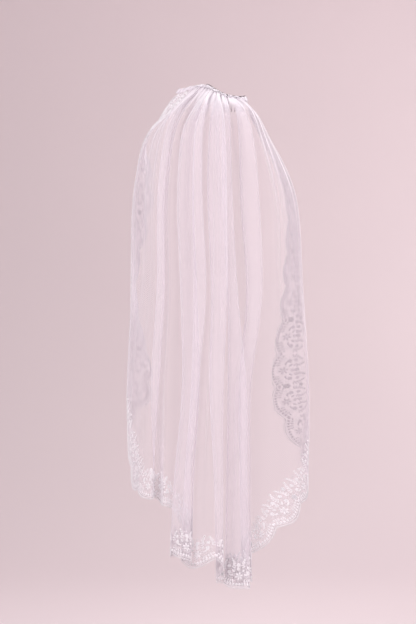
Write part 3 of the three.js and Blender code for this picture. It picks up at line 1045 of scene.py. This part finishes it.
def headingPiece():
    # The gathered top of the cloth, drawn up on its thread into close pleats: broad crests
    # outside, and narrow valleys as deep as the cloth in each pleat needs
    columns, rows = headingValues["columns"], headingValues["rows"]
    drawn = np.linspace(0, headingLength, columns)
    x = np.interp(drawn, headingDrawn, headingFlat)
    foot = clothValues["headingDepth"] + headingValues["overlap"]
    fall = np.linspace(headingValues["top"], foot, rows)
    gridA, gridB = np.meshgrid(x, fall, indexing="ij")
    gridDrawn = np.broadcast_to(drawn[:, None], gridA.shape)
    place = gridDrawn / headingValues["pitch"] + 0.5 * slowNoise(gridA, gridB, 60, 9, 5)
    valley = (1 - np.abs(np.sin(math.pi * place))) ** 2
    fullness = np.gradient(x, drawn)
    length = headingValues["pitch"] * (fullness * headingValues["fullness"] - 1)
    depth = np.maximum(length, 0.4)[:, None] / 2
    crest = headingValues["crest"] * (1 + 0.5 * slowNoise(gridDrawn, gridB, 3.7, 40, 6))
    points = onVeil(gridA, gridB, crest - depth * valley)
    net = tulleMaterial("nylon tulle, gathered double", headingValues)
    piece = makePiece(
        "gathered_top", points.reshape(-1, 3), gridFaces(columns, rows), net,
        np.stack([gridA, gridB], axis=-1).reshape(-1, 2),
        {"drawnUp": np.full(gridA.size, headingValues["drawnUp"])},
    )
    wall = piece.modifiers.new("double cloth", "SOLIDIFY")
    wall.thickness = headingValues["thickness"] * millimetre
    wall.offset = 0
    return piece


heading = headingPiece()

combValues = {
    "colour": "#6d5c60",
    "shade": "#3a3033",
    "wire": 1.1,
    "tooth": 0.75,
    "toothLength": 30,
    "teeth": 13,
    "from": 0.36,  # shares of the heading's length between which the comb runs
    "to": 0.99,
    "rise": 1.45,
    "setback": 1.8,
    "toothSetback": 3.2,
    "axisDepth": 60,  # Y of the upright line that the comb curves round
}


def combMaterial():
    # Lacquered steel wire: dark and smooth, slightly bright where it has rubbed
    material, add = newMaterial("lacquered steel wire")
    place = add("ShaderNodeTexCoord")
    wear, tint = mottle(add, place.outputs["Object"], combValues, 220.0, 4.0)
    rough = add(
        "ShaderNodeMapRange", inputs={"To Min": 0.25, "To Max": 0.45}, links={"Value": wear}
    )
    skin = add(
        "ShaderNodeBsdfPrincipled", inputs={"Metallic": 0.85},
        links={"Base Color": tint, "Roughness": rough.outputs["Result"]},
    )
    add("ShaderNodeOutputMaterial", links={"Surface": skin.outputs[0]})
    return material


def wireInto(points, faces, line, radius, sides=8):
    # A round wire along a line in space, with closed round ends
    course = unit(np.gradient(line, axis=0))
    side = unit(np.cross(course, (0.02, 0.05, 1.0)))
    steep = np.abs(course[:, 2]) > 0.8
    side[steep] = unit(np.cross(course[steep], (1.0, 0.1, 0.02)))
    other = np.cross(course, side)
    start = len(points)
    radii = np.full(len(line), radius)
    radii[[0, -1]] = radius * 0.45
    for i in range(len(line)):
        for s in range(sides):
            a = 2 * math.pi * s / sides
            offset = side[i] * math.cos(a) + other[i] * math.sin(a)
            points.append(line[i] + offset * radii[i])
    for i in range(len(line) - 1):
        for s in range(sides):
            a, b = start + i * sides + s, start + i * sides + (s + 1) % sides
            faces.append([a, b, b + sides, a + sides])
    faces.append([start + s for s in range(sides)][::-1])
    faces.append([start + (len(line) - 1) * sides + s for s in range(sides)])


def combPiece():
    points, faces = [], []
    shares = np.linspace(combValues["from"], combValues["to"], 60)
    line = atLength(headingLine, headingLengths, shares * headingLength)
    axis, level = np.array([0, combValues["axisDepth"], 0]), np.array([1, 1, 0])
    line = line + unit((axis - line) * level) * combValues["setback"] + (0, 0, combValues["rise"])
    wireInto(points, faces, line, combValues["wire"], 12)
    lengths = lengthsOf(line)
    for i in range(combValues["teeth"]):
        top = atLength(line, lengths, lengths[-1] * (i + 0.5) / combValues["teeth"])
        bend = top + unit((axis - top) * level) * combValues["toothSetback"]
        bend = bend - (0, 0, combValues["wire"])
        foot = bend * level + (0, 0, top[2] - combValues["toothLength"])
        tooth = smoothLine([top, bend, (bend + foot) / 2, foot], 5)
        wireInto(points, faces, tooth, combValues["tooth"])
    return makePiece("wire_comb", points, faces, combMaterial())


comb = combPiece()
print("veil: heading and comb made")


rides = [(tulle, "tulle_drape", "tulle"), (heading, "gathered_heading", "heading")]
rides += [(comb, "comb", "comb_metal")]
rides += [(piece, name, "lace") for name, piece in lacePieces.items()]
for piece, node, slotName in rides:
    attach(piece, "root")
    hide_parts(node)
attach(beads, "root")


stageValues = {
    "colour": "#ede0e3",
    "shade": "#eadde1",
    "floor": -1300,
    "wall": 4400,
    "bend": 2400,
    "top": 3600,
    "near": -9000,
    "halfWidth": 9000,
    "air": "#fff6f7",
    "airStrength": 0.4,
}


def backdrop():
    # A floor that sweeps up into the wall behind
    floor, wall, bend = stageValues["floor"], stageValues["wall"], stageValues["bend"]
    line = [(stageValues["near"], floor)]
    for a in np.radians(np.linspace(-90, 0, 25)):
        line.append((wall - bend + bend * math.cos(a), floor + bend + bend * math.sin(a)))
    line.append((wall, stageValues["top"]))
    points = [(side * stageValues["halfWidth"], y, z) for y, z in line for side in (-1, 1)]
    faces = [[2 * i, 2 * i + 1, 2 * i + 3, 2 * i + 2] for i in range(len(line) - 1)]
    # Painted studio paper: matt and even, with a trace of mottling
    material, add = newMaterial("matt studio paper")
    place = add("ShaderNodeTexCoord")
    _, tint = mottle(add, place.outputs["Object"], stageValues, 0.8)
    skin = add(
        "ShaderNodeBsdfPrincipled", inputs={"Roughness": 1.0, "Specular IOR Level": 0.0},
        links={"Base Color": tint},
    )
    add("ShaderNodeOutputMaterial", links={"Surface": skin.outputs[0]})
    return makePiece("studio_backdrop", points, faces, material)


def addLight(name, place, target, size, power, colour):
    lamp = bpy.data.lights.new(name, "AREA")
    lamp.shape = "DISK"
    lamp.size = size
    lamp.energy = power
    lamp.color = linearColour(colour)[:3]
    light = bpy.data.objects.new(name, lamp)
    light.location = [v * millimetre for v in place]
    aim = np.array(target, dtype=float) - place
    level = math.hypot(aim[0], aim[1])
    light.rotation_euler = (math.atan2(level, -aim[2]), 0, math.atan2(-aim[0], aim[1]))
    bpy.context.scene.collection.objects.link(light)


middle = (-20, -60, -450)
lightTable = [
    # name, place, target, diameter in metres, watts, colour
    ("key_light", (-1200, -1900, 1000), middle, 1.2, 50, "#fffafc"),
    ("fill_light", (1500, -1500, 200), middle, 1.6, 24, "#fff8fa"),
    ("rim_light", (900, 900, 900), middle, 1.0, 12, "#ffffff"),
    ("backdrop_light", (3200, 1900, -1100), (1100, 4400, -700), 1.8, 99, "#fff8f8"),
    ("low_light", (300, 1500, 1300), (150, 2200, -1300), 1.6, 13, "#fff8f8"),
]
backdrop()
for row in lightTable:
    addLight(*row)

world = bpy.data.worlds.new("studio")
world.use_nodes = True
air = world.node_tree.nodes["Background"]
air.inputs["Color"].default_value = linearColour(stageValues["air"])
air.inputs["Strength"].default_value = stageValues["airStrength"]
bpy.context.scene.world = world
bpy.context.scene.view_settings.view_transform = "Standard"
bpy.context.scene.cycles.transparent_max_bounces = 40  # many layers of net lie in one line

cameraValues = {"place": (-31, -2640, -415), "lens": 79.88}
camera = bpy.data.objects.new("camera", bpy.data.cameras.new("camera"))
camera.location = [v * millimetre for v in cameraValues["place"]]
camera.rotation_euler = (math.pi / 2, 0, 0)
camera.data.lens = cameraValues["lens"]
camera.data.sensor_width = 36
camera.data.clip_start = 0.05
camera.data.clip_end = 50
bpy.context.scene.collection.objects.link(camera)
bpy.context.scene.camera = camera

print("veil: done")
